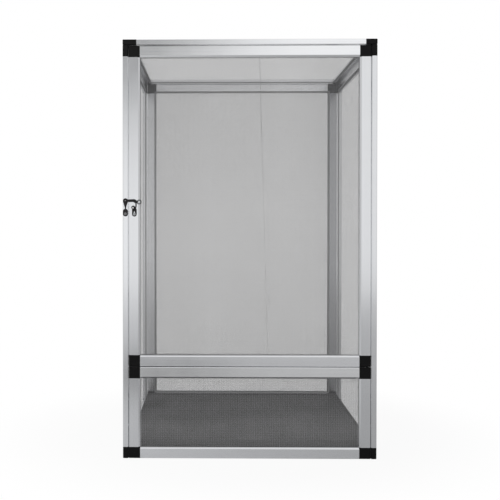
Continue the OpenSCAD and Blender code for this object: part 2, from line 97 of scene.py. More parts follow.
def photo_camera():
    """A camera whose focal length and optical axis are given in pixels of the square picture."""
    lens = bpy.data.cameras.new("photo_camera")
    lens.sensor_width = SENSOR
    lens.lens = FOCAL / PICTURE * SENSOR
    lens.shift_x = 0.5 - AXIS_AT[0] / PICTURE
    lens.shift_y = AXIS_AT[1] / PICTURE - 0.5
    camera = bpy.data.objects.new("photo_camera", lens)
    camera.location = CAMERA_AT
    camera.rotation_euler = (math.radians(90 - LOOKS_DOWN), 0.0, math.radians(LOOKS_LEFT))
    scene.collection.objects.link(camera)
    scene.camera = camera
    return camera


scene.view_settings.view_transform = "Standard"
print("lens", round(photo_camera().data.lens, 2), "mm")


# %% [markdown]
# ## Shader sums as Python
#
# A material is a graph of nodes. Wiring each Math node by hand buries the idea, so one small class
# wraps a socket: `0.2 + 0.1 * grain` then adds two Math nodes by itself, and `node` adds any other
# kind.

# %% A socket that can be calculated with
class Signal:
    """A socket of a node tree. Operators add Math nodes, and node() adds any other node."""

    def __init__(self, tree, socket=None):
        self.tree = tree
        self.socket = socket

    def node(self, kind, settings=None, sockets=None, out=0):
        """Adds a node: first its settings, then the values or links of its sockets. Gives one output."""
        made = self.tree.nodes.new(kind)
        for name, value in (settings or {}).items():
            setattr(made, name, value)
        for name, value in (sockets or {}).items():
            if isinstance(value, Signal):
                self.tree.links.new(value.socket, made.inputs[name])
            else:
                made.inputs[name].default_value = value
        return Signal(self.tree, made.outputs[out] if made.outputs else None)

    def sibling(self, name):
        """Another output of the same node."""
        return Signal(self.tree, self.socket.node.outputs[name])

    def maths(self, operation, first, second):
        """One Math node on two values."""
        return self.node("ShaderNodeMath", {"operation": operation}, {0: first, 1: second})

    def __add__(self, other):
        return self.maths("ADD", self, other)

    def __sub__(self, other):
        return self.maths("SUBTRACT", self, other)

    def __rsub__(self, other):
        return self.maths("SUBTRACT", other, self)

    def __mul__(self, other):
        return self.maths("MULTIPLY", self, other)

    def __pow__(self, other):
        return self.maths("POWER", self, other)

    def __rpow__(self, other):
        return self.maths("POWER", other, self)

    __radd__ = __add__
    __rmul__ = __mul__


def new_finish(name):
    """An empty material, and its Object coordinates as the first signal."""
    material = bpy.data.materials.new(name)
    material.use_nodes = True
    material.node_tree.nodes.clear()
    return material, Signal(material.node_tree).node("ShaderNodeTexCoord", out="Object")


def close_finish(material, place, sockets):
    """Joins a Principled shader with these socket values or signals to the material's output."""
    shader = place.node("ShaderNodeBsdfPrincipled", {}, sockets, "BSDF")
    place.node("ShaderNodeOutputMaterial", {}, {"Surface": shader})
    print("finish", material.name, "with", len(material.node_tree.nodes), "nodes")
    return material


def grain(place, per_metre, detail=2.0):
    """Noise from 0 to 1 with this many cells per metre along X, Y and Z."""
    spread = place.node("ShaderNodeVectorMath", {"operation": "MULTIPLY"}, {0: place, 1: per_metre})
    return place.node("ShaderNodeTexNoise", {}, {"Vector": spread, "Scale": 1.0, "Detail": detail}, "Fac")


def ramp(value, low, high):
    """0 below low, 1 above high and a smooth step between."""
    settings = {"interpolation_type": "SMOOTHSTEP"}
    return value.node("ShaderNodeMapRange", settings, {"Value": value, "From Min": low, "From Max": high})


def blend(factor, first, second):
    """Goes from the first colour to the second as factor goes from 0 to 1; both may be signals."""
    return factor.node("ShaderNodeMix", {"data_type": "RGBA"}, {0: factor, 6: first, 7: second}, 2)


def tint(factor, first, second):
    """The same for two fixed colours of red, green and blue."""
    return blend(factor, (*first, 1.0), (*second, 1.0))


def relief(height, depth):
    """A Bump node for a height from 0 to 1 that stands for this depth in metres."""
    return height.node("ShaderNodeBump", {}, {"Strength": 1.0, "Distance": depth, "Height": height})


print("shader kit ready")


# %% [markdown]
# ## Light from a white studio
#
# The rails are satin metal, so most of what they show is the room. In the photograph the room is
# white in front, with a grey stretch high on the left that darkens the upper left rails. The walls
# beside the cage are dimmer than the ceiling, which shades every sloped edge. An environment
# picture could do that. A world of a few terms in the ray's direction does it too: white before and
# behind, dimmer round the sides and a little to the right, and one soft dark patch. Camera rays see
# plain white, and mirrored rays see a share of that white.

# %% World
MIRRORED_SHARE = 0.2
FRONT_LEVEL = 0.98
FRONT_SPAN = (0.0, 0.6)
RIGHT_DIM = 0.12
RIGHT_SPAN = (0.10, 0.20)
PATCH_AT = (-0.14, 0.27)
PATCH_SIZE = (0.13, 0.115)
PATCH_DEPTH = 2.0
SIDE_LEVEL = 0.55
CEILING_GAIN = 0.25
SIDE_SPAN = (0.35, 0.80)


def white_seen(place):
    """1 for camera rays, MIRRORED_SHARE for mirrored and transmitted rays, 0 for the rest."""
    camera = place.node("ShaderNodeLightPath", out="Is Camera Ray")
    passed_on = camera.sibling("Is Glossy Ray") + camera.sibling("Is Transmission Ray")
    return camera + MIRRORED_SHARE * passed_on


def studio_world():
    """Level = FRONT_LEVEL max(1 - patch, 0) (1 - RIGHT_DIM ramp(x)) in front and 1 behind.

    Round the sides it is SIDE_LEVEL + CEILING_GAIN z.
    patch = PATCH_DEPTH exp(-u2 - v2), with (u, v) the place of (x, z) from PATCH_AT in units of PATCH_SIZE.
    """
    world = bpy.data.worlds.new("white_studio")
    scene.world = world
    world.use_nodes = True
    world.node_tree.nodes.clear()
    look = Signal(world.node_tree).node("ShaderNodeTexCoord", out="Generated")
    x = look.node("ShaderNodeSeparateXYZ", {}, {0: look}, "X")
    y, z = x.sibling("Y"), x.sibling("Z")
    away = sum(((axis - at) * (1 / size)) ** 2.0 for axis, at, size in zip((x, z), PATCH_AT, PATCH_SIZE))
    patch = PATCH_DEPTH * math.e ** (away * -1.0)
    rightward = 1 - RIGHT_DIM * ramp(x, *RIGHT_SPAN)
    front = x.maths("MAXIMUM", 1 - patch, 0.0) * rightward * FRONT_LEVEL
    ends = 1 - ramp(y * -1.0, *FRONT_SPAN) * (1 - front)
    sides = SIDE_LEVEL + CEILING_GAIN * z
    level = sides + ramp((y * y) ** 0.5, *SIDE_SPAN) * (ends - sides)
    strength = level + white_seen(look) * (1 - level)
    white = {"Color": (1.0, 1.0, 1.0, 1.0), "Strength": strength}
    look.node("ShaderNodeOutputWorld", {}, {"Surface": look.node("ShaderNodeBackground", {}, white)})
    return world


print("world", studio_world().name)


# %% [markdown]
# ## The floor
#
# The photograph is cut out on white, but a cage needs something to stand on. A plane could simply
# be white, and then metal would mirror a floor as bright as the sky. Here the plane is a pale grey
# surface that camera rays see as white, except for a faint shadow close to the cage. It is paler on
# the left, with a patch of shade further off there, which is what the lower rails show in the
# photograph.

# %% Floor plane
# The floor's tones are painted light and shade: darker close to the cage and towards the right, with a
# painted patch of shade further off on the left.
NEAR_TONES = (0.60, 0.35)
FAR_TONES = (0.66, 0.44)
TONES_TURN = (-0.30, 0.30)
FAR_FROM = (0.60, 1.50)
SHADE = 0.62
SHADE_AT = (-0.22, -1.22)
SHADE_SIZE = (0.24, 0.38)
TONE_ENDS = ((0.0, 0.0, 0.0), (1.0, 1.0, 1.01))
FLOOR_REACH = (4.0, 3.5, 4.0)
FLOOR_DROP = 0.2 * MM
SHADOW_SHARE = 0.06
SHADOW_FADES = (0.30, 0.60)


def studio_floor():
    """A plane under the cage; its shadow fades out between two distances from the middle.

    The shade takes SHADE exp(-u2 - v2) from the tone, with (u, v) the place from SHADE_AT in units of
    SHADE_SIZE.
    """
    side, before, behind = FLOOR_REACH
    corners = [(-side, -before, -FLOOR_DROP), (side, -before, -FLOOR_DROP), (side, behind, -FLOOR_DROP),
               (-side, behind, -FLOOR_DROP)]
    mesh = bpy.data.meshes.new("studio_floor")
    mesh.from_pydata(corners, [], [(0, 1, 2, 3)])
    floor = bpy.data.objects.new("studio_floor", mesh)
    scene.collection.objects.link(floor)
    material, place = new_finish("studio_floor")
    apart = place.node("ShaderNodeVectorMath", {"operation": "LENGTH"}, {0: place}, "Value")
    white_share = white_seen(place) * (1 - SHADOW_SHARE * (1 - ramp(apart, *SHADOW_FADES)))
    x = place.node("ShaderNodeSeparateXYZ", {}, {0: place}, "X")
    y = x.sibling("Y")
    away = sum(((axis - at) * (1 / size)) ** 2.0 for axis, at, size in zip((x, y), SHADE_AT, SHADE_SIZE))
    near, far = (left + (right - left) * ramp(x, *TONES_TURN) for left, right in (NEAR_TONES, FAR_TONES))
    tone = near + ramp(y * -1.0, *FAR_FROM) * (far - near) - SHADE * math.e ** (away * -1.0)
    pale = place.node("ShaderNodeBsdfDiffuse", {}, {"Color": tint(tone, *TONE_ENDS)})
    white = place.node("ShaderNodeEmission", {}, {"Strength": 1.0})
    mixed = place.node("ShaderNodeMixShader", {}, {0: white_share, 1: pale, 2: white})
    place.node("ShaderNodeOutputMaterial", {}, {"Surface": mixed})
    mesh.materials.append(material)
    return floor


print("floor", studio_floor().name)


# %% [markdown]
# ## Anodised rails
#
# Each rail is a length of extruded aluminium with a satin anodised skin. The die leaves fine lines
# and broader bands along the rail, and the anodising clouds the gloss a little. One material with
# one direction would run the lines across half of the rails, so there is one finish per axis.
# Each rail's tone is also scaled by a gain of painted light and shade: the rails along the top are
# the brightest, and the post at the back right is the dullest. Front rails are rubbed smoother than
# those inside. A front rail also has a few stripes of painted shade, in its joints, mostly at the
# top left, and on the ledges below the screens, where they also dim the edges' highlight.

# %% Rail finish
RAIL_DARK = (0.71, 0.72, 0.74)
RAIL_LIGHT = (0.83, 0.84, 0.86)
LINES = (5.0, 1600.0)
BANDS = (1.5, 330.0)
CLOUDS = (26.0, 26.0, 26.0)
LINE_DEPTH = 0.0025 * MM
LINE_SHARE = 0.3
BAND_SHARE = 0.4
CLOUD_SHARE = 0.3
FRONT_SATIN = 0.11
INSIDE_SATIN = 0.16
SATIN_VARIES = 0.05
PAINTED_SHADE_GREY = (0.09, 0.09, 0.09, 1.0)
LID_JOINT = (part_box("door_top_rail")[1][2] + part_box("top_front_rail")[0][2]) / 2
LEFT_JOINT = (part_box("door_left_stile")[0][0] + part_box("left_front_stile")[1][0]) / 2
DOOR_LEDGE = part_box("door_bottom_rail")[1][2]
LOWER_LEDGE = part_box("lower_bottom_rail")[1][2]
# Each stripe of painted shade: its place across the rail, half of its width, its density, and from where to
# where it fades.
ACROSS_STRIPES = [
    (LID_JOINT, 2.0 * MM, 0.80, (-0.19, -0.02)),
    (DOOR_LEDGE, 0.5 * MM, 0.55, (0.20, 0.60)),
    (DOOR_LEDGE, 2.2 * MM, 0.40, (-0.25, 0.45)),
    (LOWER_LEDGE, 0.5 * MM, 0.55, (0.20, 0.60)),
    (LOWER_LEDGE, 2.2 * MM, 0.40, (-0.25, 0.60))]
UPRIGHT_STRIPES = [(LEFT_JOINT, 0.9 * MM, 0.50, (0.70, 0.50))]


def drawn_out(place, axis, counts):
    """Noise with few cells per metre along one axis and many across it."""
    return grain(place, [counts[0] if i == axis else counts[1] for i in range(3)])


def painted_shade_stripes(place, axis):
    """Sum of soft stripes of painted shade along a rail that runs in X or Z: dense near one line, and
    fading along it.
    """
    x = place.node("ShaderNodeSeparateXYZ", {}, {0: place}, "X")
    z = x.sibling("Z")
    across, along, stripes = (z, x, ACROSS_STRIPES) if axis == 0 else (x, z, UPRIGHT_STRIPES)
    masks = []
    for at, half, density, fade in stripes:
        apart = ((across - at) ** 2.0) ** 0.5
        masks.append(density * (1 - ramp(apart, half / 2, half)) * (1 - ramp(along, *fade)))
    return sum(masks[1:], masks[0])


def anodised(axis, painted_light_gain, front):
    """Noise drawn out along one axis makes die lines and bands; a slow cloud varies tone and roughness."""
    side = "front" if front else "inside"
    material, place = new_finish("anodised_%s_%d_%s" % ("xyz"[axis], round(100 * painted_light_gain), side))
    lines = drawn_out(place, axis, LINES)
    bands = drawn_out(place, axis, BANDS)
    cloud = grain(place, CLOUDS)
    # The gain scales the tone: painted light and shade, brighter or darker per rail.
    dark, light = (tuple(min(painted_light_gain * value, 1.0) for value in tone) for tone in (RAIL_DARK, RAIL_LIGHT))
    tone = tint(LINE_SHARE * lines + BAND_SHARE * bands + CLOUD_SHARE * cloud, dark, light)
    if front:
        # Front rails get stripes of painted shade in their joints and on their ledges.
        tone = blend(painted_shade_stripes(place, axis), tone, PAINTED_SHADE_GREY)
    satin = FRONT_SATIN if front else INSIDE_SATIN
    sockets = {
        "Base Color": tone,
        "Metallic": 1.0,
        "Roughness": satin + SATIN_VARIES * lines + SATIN_VARIES * cloud,
        "Normal": relief(lines, LINE_DEPTH)}
    return close_finish(material, place, sockets)


print("painted shade stripes:", len(ACROSS_STRIPES), "along X and", len(UPRIGHT_STRIPES), "upright")


# %% [markdown]
# ## Black mouldings
#
# The corner blocks are moulded nylon, black with a fine eroded texture, and their corners are
# rubbed a little smoother by handling. The splines are soft grey rubber pressed into the grooves,
# the strip under the door is black, a stand-in for the shade in the gap, and the floor panel is a
# black sheet with a pressed grain and some dust. Texture and gloss tell them apart.

# %% Plastic and rubber finishes
EROSION = (1500.0, 1500.0, 1500.0)
HANDLING = (60.0, 60.0, 60.0)
PEBBLES = 700.0
WARP = (230.0, 5.0, 5.0)
WEFT = (5.0, 55.0, 5.0)
DUST = (13.0, 9.0, 9.0)
BLOCK_BLACK = (0.0030, 0.0029, 0.0030)
BLOCK_RUBBED = (0.0055, 0.0053, 0.0057)
SHEET_BLACK = (0.002, 0.002, 0.002)
SHEET_DUSTY = (0.070, 0.070, 0.071)
THREAD_SHARE = 0.55
DUST_SHARE = 0.45
GRAIN_SPAN = (0.35, 0.65)
FLOOR_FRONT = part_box("floor_panel")[0][1]
PAINTED_LIGHT_EDGE = (0.085, 0.085, 0.086, 1.0)
PAINTED_LIGHT_EDGE_SPAN = (FLOOR_FRONT + 0.1 * MM, FLOOR_FRONT + 0.3 * MM)


def block_plastic():
    """Fine noise gives the eroded skin; slow noise gives patches that hands have polished."""
    material, place = new_finish("block_plastic")
    skin = grain(place, EROSION)
    rubbed = grain(place, HANDLING)
    sockets = {
        "Base Color": tint(rubbed, BLOCK_BLACK, BLOCK_RUBBED),
        "Roughness": 0.34 + 0.12 * skin + 0.08 * rubbed,
        "Specular IOR Level": 0.13,
        "Normal": relief(skin, 0.02 * MM)}
    return close_finish(material, place, sockets)


def soft_rubber(name, clean, dusty):
    """A dull strip whose bloom of dust varies slowly."""
    material, place = new_finish(name)
    dust = grain(place, HANDLING)
    skin = grain(place, EROSION)
    sockets = {
        "Base Color": tint(dust, clean, dusty),
        "Roughness": 0.62 + 0.18 * dust,
        "Specular IOR Level": 0.3,
        "Normal": relief(skin, 0.03 * MM)}
    return close_finish(material, place, sockets)


def floor_plastic():
    """Voronoi cells make the pebbles, drawn-out noise the threads pressed into it, slow noise the dust."""
    material, place = new_finish("floor_plastic")
    pebbles = place.node("ShaderNodeTexVoronoi", {}, {"Vector": place, "Scale": PEBBLES}, "Distance")
    threads = 0.5 * grain(place, WARP) + 0.5 * grain(place, WEFT)
    dust = grain(place, DUST)
    y = place.node("ShaderNodeSeparateXYZ", {}, {0: place}, "Y")
    # The sheet's front face gets a lighter grey: painted light on a face that lies in shade.
    edge = 1 - ramp(y, *PAINTED_LIGHT_EDGE_SPAN)
    glint_spots = ramp(THREAD_SHARE * threads + DUST_SHARE * dust, *GRAIN_SPAN)
    sockets = {
        "Base Color": blend(edge, tint(glint_spots, SHEET_BLACK, SHEET_DUSTY), PAINTED_LIGHT_EDGE),
        "Roughness": 0.72 + 0.16 * dust,
        "Specular IOR Level": 0.25,
        "Normal": relief(1 - pebbles, 0.08 * MM)}
    return close_finish(material, place, sockets)


black_finishes = {"corner_plastic": block_plastic(), "floor_plastic": floor_plastic(),
                  "spline_rubber": soft_rubber("spline_rubber", (0.42, 0.42, 0.425), (0.50, 0.50, 0.505)),
                  # The near-black seal finish paints the shade in the gaps under and beside the door.
                  "seal_rubber": soft_rubber("seal_rubber", (0.010, 0.010, 0.0105), (0.022, 0.022, 0.023))}


# %% [markdown]
# ## Latch and fasteners
#
# The latch is a small zinc casting under dark nickel plate: nearly black where it mirrors something
# dark, with sharp white highlights, and a painted highlight on the rivet and on the post. A
# material for each painted highlight would leave hard borders, so they are soft masks in one
# material. Screws are zinc-plated steel, duller at the keeper, and the hinge pins are blackened.

# %% Metal finishes of the small parts
PLATING = (220.0, 220.0, 220.0)
NICKEL_DARK = (0.012, 0.011, 0.012)
NICKEL_PALE = (0.86, 0.85, 0.84)
SPOT_FADES = (0.6, 1.2)
RIVET_SPOT_DROP = 0.9 * MM
POST_SPOT_SHIFT = (0.2 * MM, 0.4 * MM)


def painted_highlight_spot(place, at, radius, share):
    """share (1 - ramp(d)), with d the distance from a place, which falls between SPOT_FADES radii."""
    apart = place.node("ShaderNodeVectorMath", {"operation": "DISTANCE"}, {0: place, 1: at}, "Value")
    return share * (1 - ramp(apart, SPOT_FADES[0] * radius, SPOT_FADES[1] * radius))


def dark_nickel(glint_spots):
    """Plating with slow waves of the casting below, and painted highlights in round spots."""
    material, place = new_finish("dark_nickel")
    waves = grain(place, PLATING)
    # Round spots of painted highlight on the rivet and the post.
    glint_share = sum(painted_highlight_spot(place, *spot) for spot in glint_spots)
    sockets = {
        "Base Color": tint(0.015 * waves + glint_share, NICKEL_DARK, NICKEL_PALE),
        "Metallic": 1.0,
        "Roughness": 0.18 + 0.12 * waves,
        "Coat Weight": 0.25 + 0.2 * waves,
        "Coat Roughness": 0.06,
        "Normal": relief(waves, 0.02 * MM)}
    return close_finish(material, place, sockets)


def plated_steel(name, dull, bright):
    """Thin plate on steel, with a spangle of small dull patches."""
    material, place = new_finish(name)
    spangle = grain(place, PLATING, 4.0)
    sockets = {
        "Base Color": tint(spangle, dull, bright),
        "Metallic": 1.0,
        "Roughness": 0.22 + 0.16 * spangle,
        "Normal": relief(spangle, 0.01 * MM)}
    return close_finish(material, place, sockets)


RIVET_LOW, RIVET_HIGH = (np.array(corner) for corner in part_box("hook_rivet"))
KEEPER_LOW, KEEPER_HIGH = (np.array(corner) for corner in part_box("latch_keeper"))
KEEPER_R = (KEEPER_HIGH[0] - KEEPER_LOW[0]) / 2
RIVET_MIDDLE = (RIVET_LOW + RIVET_HIGH) / 2
RIVET_SPOT = (RIVET_MIDDLE[0], RIVET_LOW[1], RIVET_MIDDLE[2] - RIVET_SPOT_DROP)
POST_SPOT = (KEEPER_LOW[0] + KEEPER_R + POST_SPOT_SHIFT[0], KEEPER_LOW[1],
             KEEPER_HIGH[2] - KEEPER_R + POST_SPOT_SHIFT[1])
# Each painted highlight: its place, its radius, and how far it shows.
PAINTED_HIGHLIGHTS = [(RIVET_SPOT, 1.7 * MM, 1.0), (POST_SPOT, 1.2 * MM, 0.35)]
metal_finishes = {"latch_metal": dark_nickel(PAINTED_HIGHLIGHTS),
                  "fastener_steel": plated_steel("zinc_steel", (0.30, 0.31, 0.32), (0.44, 0.45, 0.47))}
pin_finish = plated_steel("blackened_steel", (0.012, 0.012, 0.013), (0.030, 0.030, 0.032))
keeper_screw_finish = plated_steel("dulled_zinc", (0.15, 0.15, 0.155), (0.27, 0.27, 0.28))


# %% [markdown]
# ## Screen wire
#
# The screen is drawn aluminium wire, mid-grey in front, with slow dull patches. At the sides and
# the top its tone is painted brighter, for the light that falls there. On the lower screen, faint
# stripes of painted moiré, light and shade, run every few wires. Uneven spacing could show those,
# but it disturbs the bright screen behind, so the tone of the wire carries them.

# %% Wire finish
WIRE_DULL = (0.38, 0.38, 0.385)
WIRE_BRIGHT = (0.46, 0.46, 0.465)
MOIRE_DARK = (0.30, 0.30, 0.304)
MOIRE_LIGHT = (0.54, 0.54, 0.546)
HAND_PATCHES = (11.0, 11.0, 11.0)
MOIRE_EVERY = 4.14 * MM
MOIRE_SHARES = (0.25, 0.13)


def painted_moire(place):
    """0.5 + a sin(2 pi x / e) + b sin(2 pi z / e): soft stripes both ways, e apart."""
    x = place.node("ShaderNodeSeparateXYZ", {}, {0: place}, "X")
    turns = [2 * math.pi / MOIRE_EVERY * side for side in (x, x.sibling("Z"))]
    waves = [turn.node("ShaderNodeMath", {"operation": "SINE"}, {0: turn}) for turn in turns]
    # Painted moiré: faint stripes of light and shade, every few wires.
    return 0.5 + MOIRE_SHARES[0] * waves[0] + MOIRE_SHARES[1] * waves[1]


def screen_wire(painted_light_gain, moire=False):
    """Slow noise dulls the wire in patches the size of a hand."""
    material, place = new_finish("screen_wire_%d%s" % (round(100 * painted_light_gain), "_marked" if moire else ""))
    dulled = grain(place, HAND_PATCHES)
    bright, dull = (tuple(painted_light_gain * value for value in tone) for tone in (WIRE_BRIGHT, WIRE_DULL))
    tone = tint(painted_moire(place), MOIRE_DARK, MOIRE_LIGHT) if moire else tint(dulled, bright, dull)
    sockets = {
        "Base Color": tone,
        "Metallic": 1.0,
        "Roughness": 0.34 + 0.12 * dulled}
    return close_finish(material, place, sockets)


# Gains of painted light: the side and top screens are made brighter.
PAINTED_LIGHT_SCREEN_GAINS = {"left_mesh": 1.80, "right_mesh": 1.15, "top_mesh": 1.65}
wire_finishes = {painted_light_gain: screen_wire(painted_light_gain) for painted_light_gain in [1.0, *PAINTED_LIGHT_SCREEN_GAINS.values()]}
moire_wire = screen_wire(1.0, moire=True)


# %% [markdown]
# ## Finishes go onto the solids
#
# The record names a material slot for every node. A lookup is enough for most. A rail also needs
# the axis that it runs along, which is the longest side of its box, and a gain of painted light and
# shade for its tone. The lower screen, the hinge pins and the keeper's screw have finishes of their own.

# %% Dress the nodes
# Gains of painted light and shade: each scales one rail's tone.
PAINTED_LIGHT_RAIL_GAINS = {"top_front_rail": 1.18, "door_top_rail": 1.18, "door_bottom_rail": 1.13,
              "lower_top_rail": 1.20, "lower_bottom_rail": 1.15, "back_top_rail": 1.35,
              "back_left_stile": 1.20, "back_right_stile": 0.73, "back_bottom_rail": 1.20,
              "left_rear_stile": 1.20, "right_rear_stile": 1.20, "top_rear_rail": 1.20,
              "left_top_rail": 0.72, "right_top_rail": 0.72, "left_front_stile": 1.06}
FRONT_RAILS = ("door_", "lower_", "top_front", "left_front", "right_front")
rail_finishes = {}


def longest_axis(node):
    """0, 1 or 2 for the axis along which the node's box is longest."""
    low, high = (np.array(corner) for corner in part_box(node))
    return int(np.argmax(high - low))


def finish_of(node):
    """The finish that a node's slot asks for, or the node's own."""
    if slots[node] == "rail_aluminium":
        kind = (longest_axis(node), PAINTED_LIGHT_RAIL_GAINS.get(node, 1.0), node.startswith(FRONT_RAILS))
        if kind not in rail_finishes:
            rail_finishes[kind] = anodised(*kind)
        return rail_finishes[kind]
    if node == "lower_mesh":
        return moire_wire
    if slots[node] == "wire_mesh":
        return wire_finishes[PAINTED_LIGHT_SCREEN_GAINS.get(node, 1.0)]
    if node.endswith("hinge_pin"):
        return pin_finish
    if node == "keeper_screw":
        return keeper_screw_finish
    return {**black_finishes, **metal_finishes}[slots[node]]


for node, solid in frame["nodes"].items():
    solid.data.materials.clear()
    solid.data.materials.append(finish_of(node))
print("dressed", len(frame["nodes"]), "nodes")


# %% [markdown]
# ## Wire screens
#
# Each panel holds a sheet of fine wire, folded over the lip of the rails and pressed into the
# groove behind it. A see-through texture on one plane would be quick, but it turns flat and
# vanishes at a slant. Real wires keep their thickness from every side, and they are cheap: a wire
# is one path with four points, so a six-sided tube along it has only twenty faces. All the wires of
# a sheet are worked out as one array.

# %% Tubes along bent paths
WIRE_PITCHES = (0.65 * MM, 0.68 * MM)
WIRE_COVER = {"top_mesh": 0.19, "left_mesh": 0.19, "right_mesh": 0.23}
USUAL_COVER = 0.243
WIRE_HALF_THICK = 0.003 * MM
WIRE_STRAYS = 0.012 * MM
HEM_AT = 2.55 * MM
HEM_PITCH = 0.28 * MM
HEM_WIRES = {"door_mesh": (6, 6), "lower_mesh": (6, 0)}
CREASE_WIRES = 3
CREASE_PITCH = 0.217 * MM
SHEET = 0.8 * MM
TUBE_SIDES = 6
BENDS = 4
PATH_ENDS = [0, 0, 1, 1]


def bent_wires(along, depth, across, inward, half_width):
    """Six-sided tubes, one per row of across, each through four points of a path with two square bends.

    Point k of a path lies at along[k], depth[k] and across[row, k]. The ring round it is an ellipse of
    half-axes w and t: its points are w cos(a) across the sheet and t sin(a) along the mitre of the bend,
    which is (-1, 0), (-1, 1), (1, 1) or (1, 0) in the along and inward directions. Each row of the result:
    along, depth, across.
    """
    turn = np.arange(TUBE_SIDES) * 2 * math.pi / TUBE_SIDES
    mitre_along = np.array([-1.0, -1.0, 1.0, 1.0])
    mitre_depth = np.array([0.0, 1.0, 1.0, 0.0]) * inward
    ring_along = along[:, None] + WIRE_HALF_THICK * np.sin(turn) * mitre_along[:, None]
    ring_depth = depth[:, None] + WIRE_HALF_THICK * np.sin(turn) * mitre_depth[:, None]
    ring_across = across[:, :, None] + half_width * np.cos(turn)
    return np.stack(np.broadcast_arrays(ring_along, ring_depth, ring_across), axis=-1).reshape(-1, 3)


def tube_faces(count, rings, sides, start=0):
    """Quads between neighbouring rings of count tubes, and a flat cap at both ends of each."""
    index = start + np.arange(count * rings * sides).reshape(count, rings, sides)
    around = np.roll(index, -1, axis=2)
    corners = [index[:, :-1], around[:, :-1], around[:, 1:], index[:, 1:]]
    quads = np.stack(corners, axis=-1).reshape(-1, 4)
    caps = np.concatenate([index[:, 0, ::-1], index[:, -1]])
    return quads.tolist() + caps.tolist()


def signed_volume(points, faces):
    """Sum of a . (b x c) / 6 over the fans of all faces: positive where faces point outwards."""
    fans = np.array([(f[0], f[i], f[i + 1]) for f in faces for i in range(1, len(f) - 1)])
    a, b, c = (points[fans[:, i]] for i in range(3))
    return float((a * np.cross(b, c)).sum() / 6)


def new_piece(name, points, faces, finish, body):
    """A mesh object at the origin that rides on a body; faces are turned outwards if they point in."""
    if signed_volume(points, faces) < 0:
        faces = [face[::-1] for face in faces]
    mesh = bpy.data.meshes.new(name)
    mesh.from_pydata(points.tolist(), [], faces)
    mesh.polygons.foreach_set("use_smooth", np.full(len(faces), True))
    mesh.materials.append(finish)
    piece = bpy.data.objects.new(name, mesh)
    scene.collection.objects.link(piece)
    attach(piece, body)
    return piece


def body_of(node):
    """The body that carries a node."""
    return next(body for body, nodes in bodies.items() if node in nodes)


print("wire pitches", np.array(WIRE_PITCHES) / MM, "mm, a share of", USUAL_COVER, "is wire")


# %% [markdown]
# ## Two layers make a screen
#
# A woven screen has wires both ways. Passing them over and under each other would cost many times
# the points and couldn't be seen at this fineness, so one layer simply lies on the other. Both ends
# of each wire turn down into the groove. A few wires more crowd along the edges of the front
# screens, where the sheet was pulled tight, and three that lean a little make the crease in the
# door's screen.

# %% Six sheets of wire
SEED = 7
DOOR_CREASE = (33 * MM, 18 * MM)


def wire_sheet(node, crease=None):
    """Points and faces of a net's wires: a layer along each side of its box, bent into the groove.

    The thin side of the box runs from the groove's floor to the inner face of the sheet. The first layer
    lies on the lip, and the second on the first. Wires stray a little from their even places, as a weave
    does. The crease's wires lean from one place to another along the sheet's first side.
    """
    low, high = (np.array(corner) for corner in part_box(node))
    thin = int(np.argmin(high - low))
    sides = [axis for axis in range(3) if axis != thin]
    inward = float(np.sign(MIDDLE[thin] - (low + high)[thin] / 2))
    groove, inner = (low[thin], high[thin]) if inward > 0 else (high[thin], low[thin])
    points, faces = [], []
    for layer, (run, step) in enumerate([sides[::-1], sides]):
        plane = inner - inward * (SHEET - WIRE_HALF_THICK * (1 + 2 * layer))
        pitch = WIRE_PITCHES[layer]
        count = int((high[step] - low[step]) / pitch)
        first = (low[step] + high[step] - pitch * (count - 1)) / 2
        weave = first + pitch * np.arange(count) + chance.normal(0.0, WIRE_STRAYS, count)
        hem = HEM_AT + HEM_PITCH * np.arange(HEM_WIRES.get(node, (0, 0))[layer])
        places = np.concatenate([low[step] + hem, weave, high[step] - hem])
        across = np.repeat(places[:, None], BENDS, axis=1)
        if crease and layer == 0:
            lean = np.array(crease)[PATH_ENDS] + CREASE_PITCH * np.arange(CREASE_WIRES)[:, None]
            across = np.concatenate([across, lean])
        ends = np.array([low[run] + WIRE_HALF_THICK, high[run] - WIRE_HALF_THICK])
        depth = np.array([groove, plane, plane, groove])
        half_width = pitch * WIRE_COVER.get(node, USUAL_COVER) / 2
        rings = bent_wires(ends[PATH_ENDS], depth, across, inward, half_width)
        faces += tube_faces(len(across), BENDS, TUBE_SIDES, sum(map(len, points)))
        placed = np.empty_like(rings)
        placed[:, [run, thin, step]] = rings
        points.append(placed)
    return np.concatenate(points), faces


def stretch_screen(node, crease=None):
    """One screen in place of a coarse net."""
    points, faces = wire_sheet(node, crease)
    name = node.replace("mesh", "screen")
    screen = new_piece(name, points, faces, finish_of(node), body_of(node))
    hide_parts(node)
    print(screen.name, len(faces), "faces")


chance = np.random.default_rng(SEED)
for net in [node for node, slot in slots.items() if slot == "wire_mesh"]:
    stretch_screen(net, DOOR_CREASE if net == "door_mesh" else None)


# %% [markdown]
# ## Black pads of painted shade between the corner blocks
#
# The black strip that closes the gap below the door, a stand-in for the shade there, ends at the
# corner blocks, where light would shine through. Two short black pads on the door paint the rest of
# that shade; the right one stops short of the hinge pin. Two more fill the gaps at the feet of the
# lower panel. A box would do, but each pad is drawn along X from a rectangle with rounded corners,
# for soft edges.

# %% Pads of painted shade
PAD_SIDES = 24
PAD_SQUARE = 0.35
PAD_CLEAR = 0.1 * MM
PIN_CLEAR = 1.5 * MM
FEET_PAD_IN = 0.5 * MM
FEET_PAD_LIFT = 0.2 * MM


